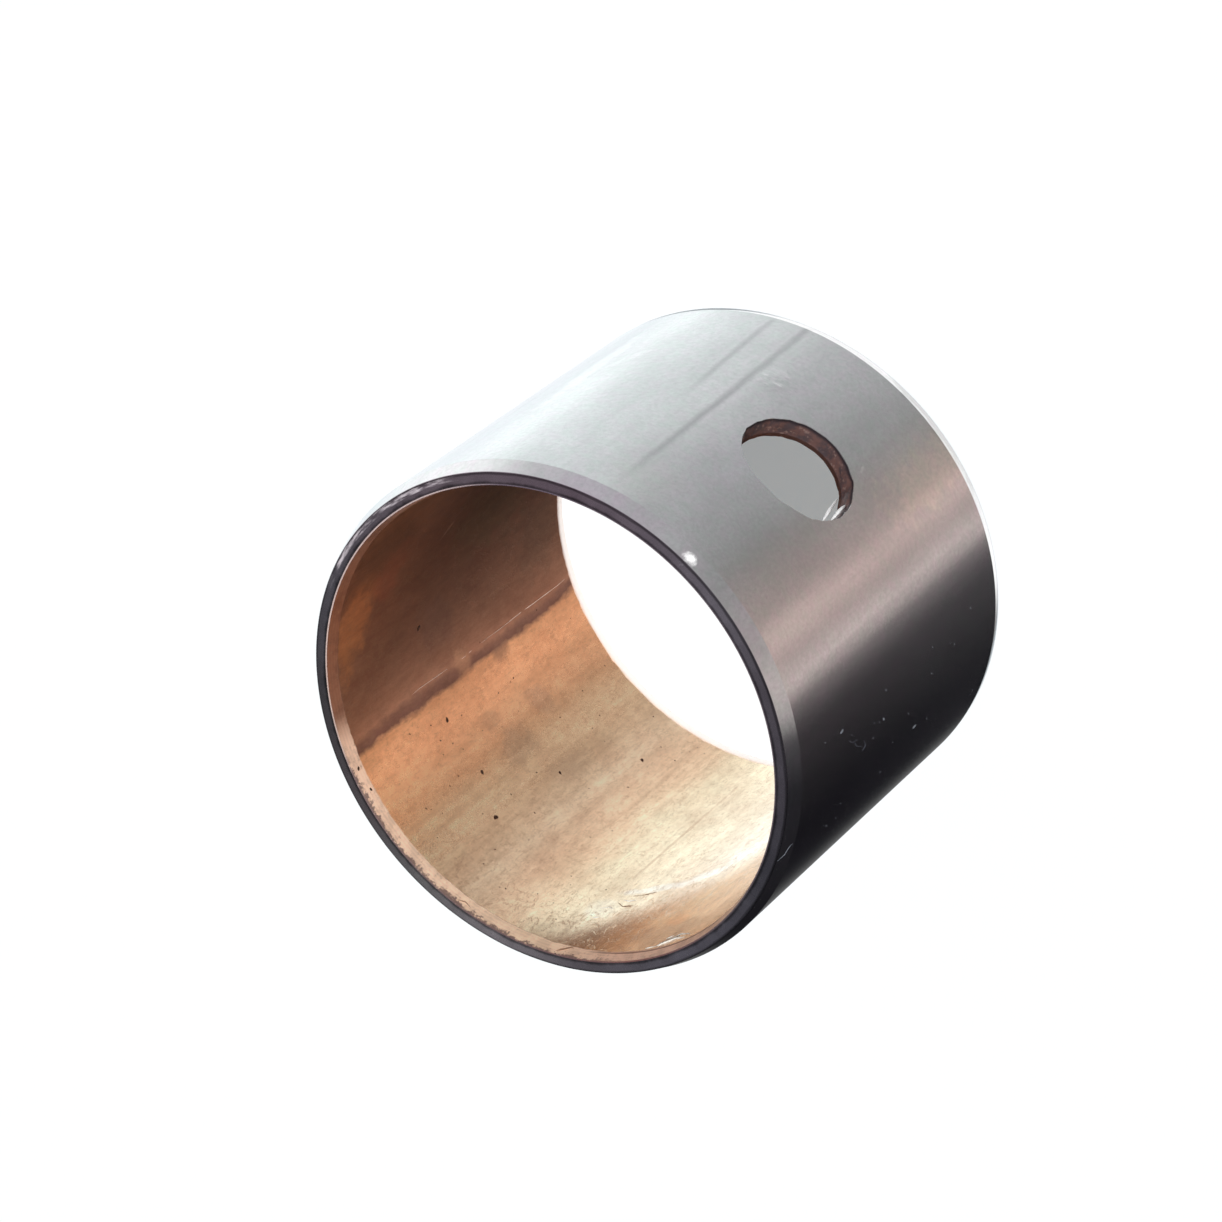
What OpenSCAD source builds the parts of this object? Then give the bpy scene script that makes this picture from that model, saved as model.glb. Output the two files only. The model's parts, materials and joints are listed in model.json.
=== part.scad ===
// Plain bearing bush with a steel back and a bronze lining.
// It stands on its lower end, with its axis on Z and the centre of the lower end at the origin.

/* [Bush] */
// Diameter of the bore through the bronze lining
bore_d = 55; // [40:1:120]
// Thickness of the whole wall, steel and bronze together
wall_t = 2.5; // [2.5:0.25:5]
// Length of the bush from end to end
bush_len = 50; // [35:1:120]

/* [Bronze lining] */
// Thickness of the bronze lining
lining_t = 0.5; // [0.4:0.05:0.8]
// Width of the thin bronze ring that the bore chamfer leaves in each end face
lining_land = 0.15; // [0.05:0.05:0.3]
// Length of the bore chamfer along the axis
bore_chamfer_len = 1.6; // [0.5:0.1:3]

/* [Steel back] */
// Length of the outside lead-in chamfer along the axis
lead_in_len = 2; // [1:0.1:3]
// Angle between the lead-in chamfer and the axis
lead_in_angle = 20; // [12:1:28]
// Radius that softens both edges of the lead-in chamfer
edge_r = 0.2; // [0.05:0.05:0.3]

/* [Oil hole] */
// Diameter of the oil hole through the wall
oil_hole_d = 14; // [4:0.5:20]
// Distance of the oil hole from mid-length, towards the upper end
oil_hole_offset = 0; // [-8:0.5:8]
// Direction of the oil hole around the axis, where -90 is the front
oil_hole_angle = -90; // [-180:5:180]

/* [Hidden] */

// Facets of the round faces
$fn = 180;
// Straight steps in each softened edge
edge_steps = 4;
// How far the drill runs on past the outside of the wall
drill_clearance = 1;

// Radii of the faces, from the bore outwards
bore_r = bore_d / 2;
bond_r = bore_r + lining_t;
land_r = bond_r - lining_land;
outer_r = bore_r + wall_t;
end_face_r = outer_r - lead_in_len * tan(lead_in_angle);

// Height of the oil hole's centre above the lower end
oil_hole_z = bush_len / 2 + oil_hole_offset;

// Colours of the two metals
steel_grey = [0.62, 0.63, 0.65];
bronze_tan = [0.80, 0.60, 0.42];

// Vector of length 1 along v
function unit(v) = v / norm(v);

// Points of an arc of radius r that softens the corner between two straight lines
function soft_corner(before, corner, after, r) =
    let (
        back = unit(before - corner),
        ahead = unit(after - corner),
        half_angle = acos(back * ahead) / 2,
        centre = corner + unit(back + ahead) * r / sin(half_angle),
        first = corner + back * r / tan(half_angle) - centre,
        last = corner + ahead * r / tan(half_angle) - centre,
        first_angle = atan2(first.y, first.x),
        turn = sign(cross(first, last)) * (180 - 2 * half_angle)
    )
    [for (step = [0:edge_steps])
        let (a = first_angle + turn * step / edge_steps)
        centre + r * [cos(a), sin(a)]];

// Outline of one wall layer, from the points of its lower end, with the upper end as their mirror image
function layer_outline(lower_end) =
    let (last = len(lower_end) - 1)
    concat(
        lower_end,
        [for (i = [last:-1:0]) [lower_end[i].x, bush_len - lower_end[i].y]]
    );

// The lower end of the steel, from the bond with the lining out to the seat
steel_end = let (
        inner_edge = [bond_r, 0],
        face_edge = [end_face_r, 0],
        seat_edge = [outer_r, lead_in_len],
        seat_middle = [outer_r, bush_len / 2]
    )
    concat(
        [inner_edge],
        soft_corner(inner_edge, face_edge, seat_edge, edge_r),
        soft_corner(face_edge, seat_edge, seat_middle, edge_r)
    );

// The lower end of the lining, from the bore out to the bond with the steel
lining_end = [
    [bore_r, bore_chamfer_len],
    [land_r, 0],
    [bond_r, 0]
];

// Drill for the oil hole, from the axis out through one side of the wall
module oil_hole_drill() {
    translate([0, 0, oil_hole_z])
        rotate([0, 0, oil_hole_angle])
            rotate([0, 90, 0])
                cylinder(d = oil_hole_d, h = outer_r + drill_clearance);
}

// Steel back, whose outside is the press-fit seat
module steel_back() {
    color(steel_grey)
        difference() {
            rotate_extrude()
                polygon(layer_outline(steel_end));
            oil_hole_drill();
        }
}

// Bronze lining, bonded to the inside of the steel
module bronze_lining() {
    color(bronze_tan)
        difference() {
            rotate_extrude()
                polygon(layer_outline(lining_end));
            oil_hole_drill();
        }
}

steel_back();
bronze_lining();
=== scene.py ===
"""Photographs a steel-backed bronze bush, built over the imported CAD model.

The bush is one sleeve of two bonded metals. It stands on its lower end with its
axis on Z, in metres, as the CAD model does, and the oil hole opens towards -Y.
A turn is in degrees clockwise from that front, as seen from above, and a depth
is measured from the upper end.
"""

from __future__ import annotations

import json
import logging
import math
from dataclasses import dataclass
from enum import Enum
from typing import Any

import bmesh
import bpy
from mathutils import Matrix, Vector, noise

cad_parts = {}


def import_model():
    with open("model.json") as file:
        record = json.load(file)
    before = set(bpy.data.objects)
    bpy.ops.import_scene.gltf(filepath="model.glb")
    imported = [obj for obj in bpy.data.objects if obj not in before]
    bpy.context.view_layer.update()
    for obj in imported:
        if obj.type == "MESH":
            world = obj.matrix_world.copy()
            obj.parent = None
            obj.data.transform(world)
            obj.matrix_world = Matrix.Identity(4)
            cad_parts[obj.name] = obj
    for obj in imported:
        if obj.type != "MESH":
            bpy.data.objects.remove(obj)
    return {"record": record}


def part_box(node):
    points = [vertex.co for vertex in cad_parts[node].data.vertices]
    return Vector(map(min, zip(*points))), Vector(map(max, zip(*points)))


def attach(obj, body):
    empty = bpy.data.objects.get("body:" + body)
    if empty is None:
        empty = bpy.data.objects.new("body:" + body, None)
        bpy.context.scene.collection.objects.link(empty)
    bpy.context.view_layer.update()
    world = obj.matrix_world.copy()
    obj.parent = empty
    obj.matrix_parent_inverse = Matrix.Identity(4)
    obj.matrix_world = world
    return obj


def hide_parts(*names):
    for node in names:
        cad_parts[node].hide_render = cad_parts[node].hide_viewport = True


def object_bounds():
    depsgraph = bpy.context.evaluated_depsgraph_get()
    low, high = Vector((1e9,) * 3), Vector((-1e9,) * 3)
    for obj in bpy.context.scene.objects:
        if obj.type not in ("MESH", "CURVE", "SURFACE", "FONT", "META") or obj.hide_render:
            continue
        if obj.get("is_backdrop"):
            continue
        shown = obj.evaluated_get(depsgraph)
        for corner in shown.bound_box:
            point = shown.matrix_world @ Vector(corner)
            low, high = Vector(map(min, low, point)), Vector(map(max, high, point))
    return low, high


LOG = logging.getLogger("bush")
MM = 0.001
FRONT = math.radians(-90.0)
Colour = tuple[float, float, float]
Point = tuple[float, float]
# The points of a line on the wall, each a turn in degrees and a depth in millimetres
Line = tuple[Point, ...]
# Tones round the axis, each a turn in degrees and its red, green and blue
Bands = tuple[tuple[float, float, float, float], ...]


class Layer(Enum):
    """The two metals of the wall, by the name of the CAD node that each one is."""

    STEEL = "steel_back"
    BRONZE = "bronze_lining"


class Value:
    """A number, vector, colour or shape in a node tree. Its sums and products add nodes."""

    def __init__(self, w: Wiring, socket: bpy.types.NodeSocket) -> None:
        """Keeps the wiring and the socket."""
        self.w = w
        self.socket = socket

    def __add__(self, other: Any) -> Value:
        """Returns the sum."""
        return self.w.math("ADD", self, other)

    def __sub__(self, other: Any) -> Value:
        """Returns the difference."""
        return self.w.math("SUBTRACT", self, other)

    def __mul__(self, other: Any) -> Value:
        """Returns the product."""
        return self.w.math("MULTIPLY", self, other)

    def __truediv__(self, other: Any) -> Value:
        """Returns the quotient."""
        return self.w.math("DIVIDE", self, other)


class Wiring:
    """Adds and joins the nodes of one tree."""

    def __init__(self, tree: bpy.types.NodeTree) -> None:
        """Keeps the tree that the nodes go into."""
        self.tree = tree

    def node(self, kind: str, inputs: dict[Any, Any] | None = None, **settings: Any) -> bpy.types.Node:
        """Adds one node.

        Args:
            kind: The node's type name.
            inputs: Values for its inputs, by name or place.
            settings: Properties of the node.

        Returns:
            The new node.
        """
        made = self.tree.nodes.new(kind)
        for name, value in settings.items():
            setattr(made, name, value)
        for place, value in (inputs or {}).items():
            self.feed(made.inputs[place], value)
        return made

    def get(self, kind: str, inputs: dict[Any, Any] | None = None, output: Any = 0, **settings: Any) -> Value:
        """Adds one node and returns one of its outputs."""
        return Value(self, self.node(kind, inputs, **settings).outputs[output])

    def outputs(self, kind: str) -> dict[str, Value]:
        """Adds one node and returns all its outputs by name."""
        return {socket.name: Value(self, socket) for socket in self.node(kind).outputs}

    def feed(self, socket: bpy.types.NodeSocket, value: Any) -> None:
        """Joins an input to a value of the tree, or sets it to a plain one.

        Args:
            socket: The input.
            value: The value.
        """
        if isinstance(value, Value):
            self.tree.links.new(value.socket, socket)
        else:
            socket.default_value = value

    def math(self, operation: str, *values: Any) -> Value:
        """Adds a Math node, or a Vector Math node where the first value has three parts.

        Args:
            operation: The node's operation.
            values: What it works on, in order.

        Returns:
            The result.
        """
        wide = [getattr(getattr(value, "socket", None), "type", "") in ("VECTOR", "RGBA") for value in values]
        wide = [known or isinstance(value, tuple) for known, value in zip(wide, values)]
        if operation == "MULTIPLY" and wide == [True, False]:
            return self.get("ShaderNodeVectorMath", {0: values[0], "Scale": values[1]}, operation="SCALE")
        kind = "ShaderNodeVectorMath" if wide[0] else "ShaderNodeMath"
        return self.get(kind, dict(enumerate(values)), operation=operation)

    def most(self, first: Value, second: Any) -> Value:
        """Returns the larger of two numbers."""
        return self.math("MAXIMUM", first, second)

    def far(self, beside: Value, over: Value) -> Value:
        """Returns how far a point lies from the middle, from its distances beside and over it."""
        return self.math("SQRT", beside * beside + over * over)

    def split(self, vector: Value) -> list[Value]:
        """Returns the x, y and z of a vector."""
        return [Value(self, part) for part in self.node("ShaderNodeSeparateXYZ", {0: vector}).outputs]

    def join(self, x: Any, y: Any, z: Any) -> Value:
        """Returns a vector made of three numbers."""
        return self.get("ShaderNodeCombineXYZ", {0: x, 1: y, 2: z})

    def ease(self, value: Value, low: Any, high: Any) -> Value:
        """Returns a smooth rise from 0 at low to 1 at high."""
        limits = {"Value": value, "From Min": low, "From Max": high}
        return self.get("ShaderNodeMapRange", limits, interpolation_type="SMOOTHSTEP")

    def wave(self, value: Value, low: float, high: float, soft: float) -> Value:
        """Returns 1 between low and high and 0 outside, with soft sides."""
        return self.ease(value, low - soft, low) * self.ease(value, high + soft, high)

    def mix(self, share: Any, first: Any, second: Any) -> Value:
        """Returns a colour between two others, by the share of the second one."""
        first, second = ((*tone, 1.0) if isinstance(tone, tuple) else tone for tone in (first, second))
        return self.get("ShaderNodeMix", {0: share, 6: first, 7: second}, 2, data_type="RGBA")

    def blend(self, share: Value, first: Value, second: Value) -> Value:
        """Returns a shader between two others, by the share of the second one."""
        return self.get("ShaderNodeMixShader", {0: share, 1: first, 2: second})

    def clouds(self, place: Value, scale: float, detail: float = 3.0, rough: float = 0.5) -> Value:
        """Returns an uneven value of about 0.3 to 0.7, with this many patches per metre."""
        look = {"Vector": place, "Scale": scale, "Detail": detail, "Roughness": rough}
        return self.get("ShaderNodeTexNoise", look)

    def shift(self, place: Value, scale: float, detail: float, reach: Any) -> Value:
        """Returns an uneven vector of up to about half the reach each way."""
        whole = self.get("ShaderNodeTexNoise", {"Vector": place, "Scale": scale, "Detail": detail}, "Color")
        return (whole - (0.5, 0.5, 0.5)) * reach

    def turn_at(self, place: Value) -> Value:
        """Finds how far round the axis a place lies.

        Args:
            place: The coordinates.

        Returns:
            The turn, from 0 at -180 degrees to 1 at 180 degrees.
        """
        x, y, _ = self.split(place)
        away = self.math("SUBTRACT", FRONT, self.math("ARCTAN2", y, x))
        return self.math("FRACT", away / math.tau + 1.5)

    def bands(self, turn: Value, bands: Bands) -> Value:
        """Colours the turns round the axis.

        Args:
            turn: The turn, 0 to 1.
            bands: The tones, of which the first one starts at -180 degrees.

        Returns:
            The colour.
        """
        ramp = self.node("ShaderNodeValToRGB", {0: turn})
        steps = ramp.color_ramp.elements
        steps.remove(steps[1])
        for degrees, *tone in bands:
            step = steps[0] if degrees == -180.0 else steps.new((degrees + 180.0) / 360.0)
            step.color = (*tone, 1.0)
        return Value(self, ramp.outputs[0])


def fresh(owner: bpy.types.ID) -> Wiring:
    """Empties the nodes of a material or world.

    Args:
        owner: The material or world.

    Returns:
        The wiring of its tree.
    """
    owner.use_nodes = True
    owner.node_tree.nodes.clear()
    return Wiring(owner.node_tree)


def placed(name: str, data: bpy.types.ID) -> bpy.types.Object:
    """Puts a new object in the scene.

    Args:
        name: Its name.
        data: Its mesh, light or camera.

    Returns:
        The object.
    """
    made = bpy.data.objects.new(name, data)
    bpy.context.scene.collection.objects.link(made)
    return made


def outward(turn: float, rise: float) -> Vector:
    """Returns the direction at an angle round the axis and an angle over the level."""
    return Vector((math.cos(rise) * math.cos(turn), math.cos(rise) * math.sin(turn), math.sin(rise)))


@dataclass(frozen=True)
class Stain:
    """A soft-edged patch on the wall, at a turn in degrees and a depth in millimetres.

    Its half sizes in millimetres run round the wall and along it, and it leans by an angle.
    """

    turn: float
    depth: float
    wide: float
    long: float
    lean: float
    tone: Colour
    strength: float


class WallWiring(Wiring):
    """The nodes of a wall's material, which know where on the wall each point lies."""

    def __init__(self, tree: bpy.types.NodeTree, length: float, face_r: float) -> None:
        """Works out where a point lies.

        Args:
            tree: The material's tree.
            length: The bush's length.
            face_r: Radius of the face that carries the stains.
        """
        super().__init__(tree)
        self.face_r = face_r
        self.place = self.get("ShaderNodeTexCoord", output="Object")
        self.turn = self.turn_at(self.place)
        self.degrees = self.turn * 360.0 - 180.0
        self.height = self.split(self.place)[2]
        self.depth = self.math("SUBTRACT", length, self.height)
        self.end = self.math("MINIMUM", self.height, self.depth)
        flat = self.place * (1.0, 1.0, 0.0)
        self.radius = self.get("ShaderNodeVectorMath", {0: flat}, "Value", operation="LENGTH")
        self.punched = self.get("ShaderNodeAttribute", output="Fac", attribute_name="punched")

    def grain(self, scale: float, detail: float = 3.0, rough: float = 0.5, along: float = 1.0) -> Value:
        """Returns an uneven value on the wall, drawn out along the axis where along is under 1."""
        place = self.place if along == 1.0 else self.place * (1.0, 1.0, along)
        return self.clouds(place, scale, detail, rough)

    def uneven(self, scale: float, detail: float = 3.0, rough: float = 0.5, along: float = 1.0) -> Value:
        """Returns the same unevenness, but to both sides of 0."""
        return self.grain(scale, detail, rough, along) - 0.5

    def stain(self, stain: Stain, ragged: Value) -> Value:
        """Finds how strongly a stain covers the point.

        Args:
            stain: The stain.
            ragged: What makes the stain's outline uneven.

        Returns:
            The strength.
        """
        away = self.math("WRAP", self.degrees - stain.turn, 180.0, -180.0)
        across = away * math.radians(self.face_r)
        along = self.depth - stain.depth * MM
        wide, long = stain.wide * MM, stain.long * MM
        cosine, sine = math.cos(stain.lean), math.sin(stain.lean)
        beside = across * (cosine / wide) + along * (sine / wide)
        over = along * (cosine / long) + across * (-sine / long)
        return self.ease(self.far(beside, over) + ragged, 1.0, 0.35) * stain.strength

    def stained(self, tone: Value, stains: tuple[Stain, ...]) -> Value:
        """Lays stains over a colour.

        Args:
            tone: The colour.
            stains: The stains, the upper ones last.

        Returns:
            The stained colour.
        """
        ragged = self.uneven(420.0, 5.0, 0.6) * 1.6
        for stain in stains:
            tone = self.mix(self.stain(stain, ragged), tone, stain.tone)
        return tone


@dataclass(frozen=True)
class BushSizes:
    """Sizes of the bush in metres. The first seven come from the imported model."""

    outer_r: float
    bond_r: float
    bore_r: float
    length: float
    hole_r: float
    hole_z: float
    hole_turn: float
    lead_in_len: float = 2.0 * MM
    lead_in_angle: float = math.radians(20.0)
    edge_r: float = 0.2 * MM
    bore_chamfer_len: float = 1.6 * MM
    lining_land: float = 0.15 * MM

    @classmethod
    def from_frame(cls, record: dict[str, Any]) -> BushSizes:
        """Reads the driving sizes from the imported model.

        Args:
            record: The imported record.

        Returns:
            The sizes of this bush.
        """
        mounts = {mount["name"]: mount for mount in record["mounts"]}
        low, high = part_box(Layer.BRONZE.value)
        hole = mounts["oil_hole"]
        return cls(
            outer_r=mounts["outside"]["dims"]["r_mm"] * MM,
            bond_r=high[1],
            bore_r=mounts["bore"]["dims"]["r_mm"] * MM,
            length=high[2] - low[2],
            hole_r=hole["dims"]["r_mm"] * MM,
            hole_z=hole["pos_m"][2],
            hole_turn=math.atan2(hole["axis"][1], hole["axis"][0]),
        )

    @property
    def end_face_r(self) -> float:
        """Outer radius of the flat end face."""
        return self.outer_r - self.lead_in_len * math.tan(self.lead_in_angle)

    @property
    def land_r(self) -> float:
        """Radius where the bore chamfer meets the end face."""
        return self.bond_r - self.lining_land


@dataclass(frozen=True)
class WallMesh:
    """How finely the wall is meshed, and how the oil hole is let into that mesh."""

    segments: int = 360
    block_steps: int = 10
    reach_steps: int = 23
    corner_steps: int = 4
    hold: float = 0.06 * MM
    thin_edge_r: float = 0.04 * MM
    thin_hold: float = 0.02 * MM
    sharp_angle: float = math.radians(38.0)

    def step(self, sizes: BushSizes) -> float:
        """Size of one mesh square on the outside."""
        return math.tau * sizes.outer_r / self.segments

    def rows(self, sizes: BushSizes, margin: float, reach: int = 1000) -> list[float]:
        """Heights of the mesh rows on a straight wall, which fall on the hole's block of squares.

        Args:
            sizes: The bush's sizes.
            margin: Height left free at each end.
            reach: Most rows to each side of the oil hole.

        Returns:
            The heights, from the bottom up.
        """
        step = self.step(sizes)
        rooms = (sizes.hole_z, sizes.length - sizes.hole_z)
        below, above = (min(reach, int((room - margin) / step - 0.5)) for room in rooms)
        return [sizes.hole_z + step * row for row in range(-below, above + 1)]

    def corner(self, before: Point, corner: Point, after: Point, radius: float, hold: float) -> list[Point]:
        """Rounds the corner between two straight lines.

        Args:
            before: A point on the first line.
            corner: Where the lines meet.
            after: A point on the second line.
            radius: The rounding's radius.
            hold: Distance of one more point past each end, so that the flats shade flat.

        Returns:
            Points of the arc, with the two that hold it.
        """
        middle = Vector(corner)
        back = (Vector(before) - middle).normalized()
        ahead = (Vector(after) - middle).normalized()
        half = math.acos(max(-1.0, min(1.0, back.dot(ahead)))) / 2
        centre = middle + (back + ahead).normalized() * radius / math.sin(half)
        first = middle + back * radius / math.tan(half) - centre
        last = middle + ahead * radius / math.tan(half) - centre
        turn = math.copysign(math.pi - 2 * half, first.x * last.y - first.y * last.x)
        start = math.atan2(first.y, first.x)
        arc = []
        for step in range(self.corner_steps + 1):
            angle = start + turn * step / self.corner_steps
            arc.append((centre.x + radius * math.cos(angle), centre.y + radius * math.sin(angle)))
        lead = Vector(arc[0]) + (Vector(before) - Vector(arc[0])).normalized() * hold
        trail = Vector(arc[-1]) + (Vector(after) - Vector(arc[-1])).normalized() * hold
        return [tuple(lead), *arc, tuple(trail)]


class ShapeTree:
    """A Geometry Nodes tree with named inputs that turns plain points and lines into a piece."""

    NAME = "shape"
    INPUTS: tuple[tuple[str, str], ...] = ()

    def __init__(self) -> None:
        """Builds the tree with its named inputs."""
        self.tree = bpy.data.node_groups.new(self.NAME, "GeometryNodeTree")
        self.sockets: dict[str, str] = {}
        face = self.tree.interface
        for name, kind in (("Start", "Geometry"), *self.INPUTS, ("Finish", "Material")):
            made = face.new_socket(name=name, in_out="INPUT", socket_type="NodeSocket" + kind)
            self.sockets[name] = made.identifier
        face.new_socket(name="Piece", in_out="OUTPUT", socket_type="NodeSocketGeometry")
        w = Wiring(self.tree)
        given = w.outputs("NodeGroupInput")
        smooth = w.get("GeometryNodeSetShadeSmooth", {"Geometry": self.shape(w, given)})
        plain = w.get("GeometryNodeRealizeInstances", {"Geometry": smooth})
        dressed = w.get("GeometryNodeSetMaterial", {"Geometry": plain, "Material": given["Finish"]})
        w.node("NodeGroupOutput", {0: dressed})

    def shape(self, w: Wiring, given: dict[str, Value]) -> Value:
        """Returns the finished geometry. Each tree has its own."""
        raise NotImplementedError

    def run(self, name: str, points: list[Any], edges: list[Any], values: tuple) -> bpy.types.Object:
        """Runs the tree.

        Args:
            name: The new piece's name.
            points: The points that it starts from.
            edges: What joins them, as pairs of their places in the list.
            values: The tree's own inputs in order, and the material.

        Returns:
            A plain mesh object without the modifier, riding on the bush.
        """
        start = bpy.data.meshes.new(name)
        start.from_pydata(points, edges, [])
        carrier = placed(name + "_carrier", start)
        modifier = carrier.modifiers.new(self.NAME, "NODES")
        modifier.node_group = self.tree
        for (key, _), value in zip((*self.INPUTS, ("Finish", "Material")), values):
            modifier[self.sockets[key]] = value
        graph = bpy.context.evaluated_depsgraph_get()
        mesh = bpy.data.meshes.new_from_object(carrier.evaluated_get(graph), depsgraph=graph)
        mesh.materials.clear()
        mesh.materials.append(values[-1])
        mesh.polygons.foreach_set("material_index", [0] * len(mesh.polygons))
        bpy.data.objects.remove(carrier)
        bpy.data.meshes.remove(start)
        mesh.name = name
        piece = placed(name, mesh)
        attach(piece, "root")
        return piece


class SweepTree(ShapeTree):
    """Sweeps an outline round the axis and lets the oil hole into the wall."""

    NAME = "sleeve_layer"
    INPUTS = (
        ("Segments", "Int"),
        ("Outline points", "Int"),
        ("Seat radius", "Float"),
        ("Hole radius", "Float"),
        ("Hole height", "Float"),
        ("Hole turn", "Float"),
        ("Block", "Float"),
        ("Reach", "Float"),
    )

    def shape(self, w: Wiring, given: dict[str, Value]) -> Value:
        """Sweeps the outline. A square of the mesh at the hole is first made round, then cut out.

        Args:
            w: The tree's wiring.
            given: The tree's inputs.

        Returns:
            The swept wall.
        """
        count, seat, block = given["Outline points"], given["Seat radius"], given["Block"]
        columns, rows = given["Segments"] + 1.0, count + 1.0
        grid = {"Size X": 1.0, "Size Y": 1.0, "Vertices X": columns, "Vertices Y": rows}
        sheet = w.get("GeometryNodeMeshGrid", grid, "Mesh")
        here = w.get("GeometryNodeInputPosition")
        x, y, _ = w.split(here)
        place = w.math("MODULO", w.math("ROUND", (y + 0.5) * count), count)
        sample = {"Geometry": given["Start"], "Value": here, "Index": place}
        point = w.get("GeometryNodeSampleIndex", sample, data_type="FLOAT_VECTOR", domain="POINT")
        radius, _, height = w.split(point)
        beside = w.math("WRAP", (x + 0.5) * math.tau - given["Hole turn"], math.pi, -math.pi) * seat
        over = height - given["Hole height"]
        size = w.most(w.math("ABSOLUTE", beside), w.math("ABSOLUTE", over))
        kept = w.node("GeometryNodeCaptureAttribute", {"Geometry": sheet})
        kept.capture_items.new("FLOAT", "Inside")
        kept.capture_items.new("VECTOR", "Place")
        w.feed(kept.inputs["Inside"], w.math("LESS_THAN", size, block * 1.001))
        rounded = size * given["Hole radius"] / block / w.most(w.far(beside, over), 1.0e-9)
        share = w.ease(size, block, given["Reach"])
        factor = w.get("ShaderNodeMix", {0: share, 2: rounded, 3: 1.0}, data_type="FLOAT")
        turn = given["Hole turn"] + beside * factor / seat
        across = radius * w.math("COSINE", turn)
        there = w.join(across, radius * w.math("SINE", turn), given["Hole height"] + over * factor)
        w.feed(kept.inputs["Place"], there)
        inside, there, sheet = (Value(w, kept.outputs[name]) for name in ("Inside", "Place", "Geometry"))
        swept = w.get("GeometryNodeSetPosition", {"Geometry": sheet, "Position": there})
        limits = {0: inside, 1: 0.5}
        within = w.get("FunctionNodeCompare", limits, data_type="FLOAT", operation="GREATER_THAN")
        faces = {"Geometry": swept, "Selection": within}
        cut = w.get("GeometryNodeDeleteGeometry", faces, domain="FACE", mode="ALL")
        return w.get("GeometryNodeMergeByDistance", {0: cut, "Distance": 0.5e-6})


class MarkTree(ShapeTree):
    """Sets an uneven flake on the wall at each point, facing away from the axis."""

    NAME = "wall_marks"
    INPUTS = (("Size", "Float"), ("Flatness", "Float"), ("Stretch", "Float"), ("Seed", "Int"))

    def shape(self, w: Wiring, given: dict[str, Value]) -> Value:
        """Scatters the flakes.

        Args:
            w: The tree's wiring.
            given: The tree's inputs.

        Returns:
            The flakes.
        """
        ball = w.get("GeometryNodeMeshIcoSphere", {"Radius": 1.0, "Subdivisions": 4}, "Mesh")
        place = w.get("GeometryNodeInputPosition")
        lumps = w.clouds(place + w.join(given["Seed"] * 3.7, 0.0, 0.0), 1.3, 4.0, 0.6) * 1.7 + 0.15
        flake = w.get("GeometryNodeSetPosition", {"Geometry": ball, "Position": place * lumps})
        flat = place * (1.0, 1.0, 0.0)
        facing = w.get("FunctionNodeAlignRotationToVector", {"Vector": flat}, axis="Z")
        angle = self._any(w, given["Seed"] + 1.0, 0.0, math.tau)
        spin = w.get("FunctionNodeAxisAngleToRotation", {"Axis": (0.0, 0.0, 1.0), "Angle": angle})
        turned = w.get("FunctionNodeRotateRotation", {0: facing, 1: spin}, rotation_space="LOCAL")
        size = given["Size"] * self._any(w, given["Seed"] + 2.0, 0.7, 1.25)
        scale = w.join(size, size * given["Stretch"], size * given["Flatness"])
        flakes = {"Points": given["Start"], "Instance": flake, "Rotation": turned, "Scale": scale}
        return w.get("GeometryNodeInstanceOnPoints", flakes)

    @staticmethod
    def _any(w: Wiring, seed: Value, low: float, high: float) -> Value:
        """Returns a random number for each point.

        Args:
            w: The tree's wiring.
            seed: The seed.
            low: The least number.
            high: The most.

        Returns:
            The number.
        """
        made = w.node("FunctionNodeRandomValue", data_type="FLOAT")
        values = {"Min": low, "Max": high, "Seed": seed}
        for socket in made.inputs:
            if socket.enabled and socket.name in values:
                w.feed(socket, values[socket.name])
        return Value(w, next(socket for socket in made.outputs if socket.enabled))


class LineTree(ShapeTree):
    """Lays a thin uneven wire along each line, such as a scratch's burr or a hair."""

    NAME = "wall_lines"
    INPUTS = (("Thickness", "Float"), ("Points", "Int"), ("Wander", "Float"), ("Breaks", "Float"))

    def shape(self, w: Wiring, given: dict[str, Value]) -> Value:
        """Lays the wires.

        Args:
            w: The tree's wiring.
            given: The tree's inputs.

        Returns:
            The wires.
        """
        line = w.get("GeometryNodeMeshToCurve", {0: given["Start"]})
        fine = w.get("GeometryNodeResampleCurve", {"Curve": line, "Count": given["Points"]})
        place = w.get("GeometryNodeInputPosition")
        bent = w.shift(place, 240.0, 3.0, w.join(given["Wander"], given["Wander"], 0.0))
        moved = w.get("GeometryNodeSetPosition", {"Geometry": fine, "Offset": bent})
        along = w.get("GeometryNodeSplineParameter", output="Factor")
        taper = w.math("SQRT", w.math("SINE", along * math.pi))
        beads = w.clouds(place, 620.0, 3.0, 0.6) * given["Breaks"]
        radius = given["Thickness"] * taper * w.most(w.math("SUBTRACT", 1.0, beads), 0.12)
        section = w.get("GeometryNodeCurvePrimitiveCircle", {"Resolution": 6, "Radius": 1.0})
        wire = {"Curve": moved, "Profile Curve": section, "Scale": radius, "Fill Caps": True}
        return w.get("GeometryNodeCurveToMesh", wire)


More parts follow.
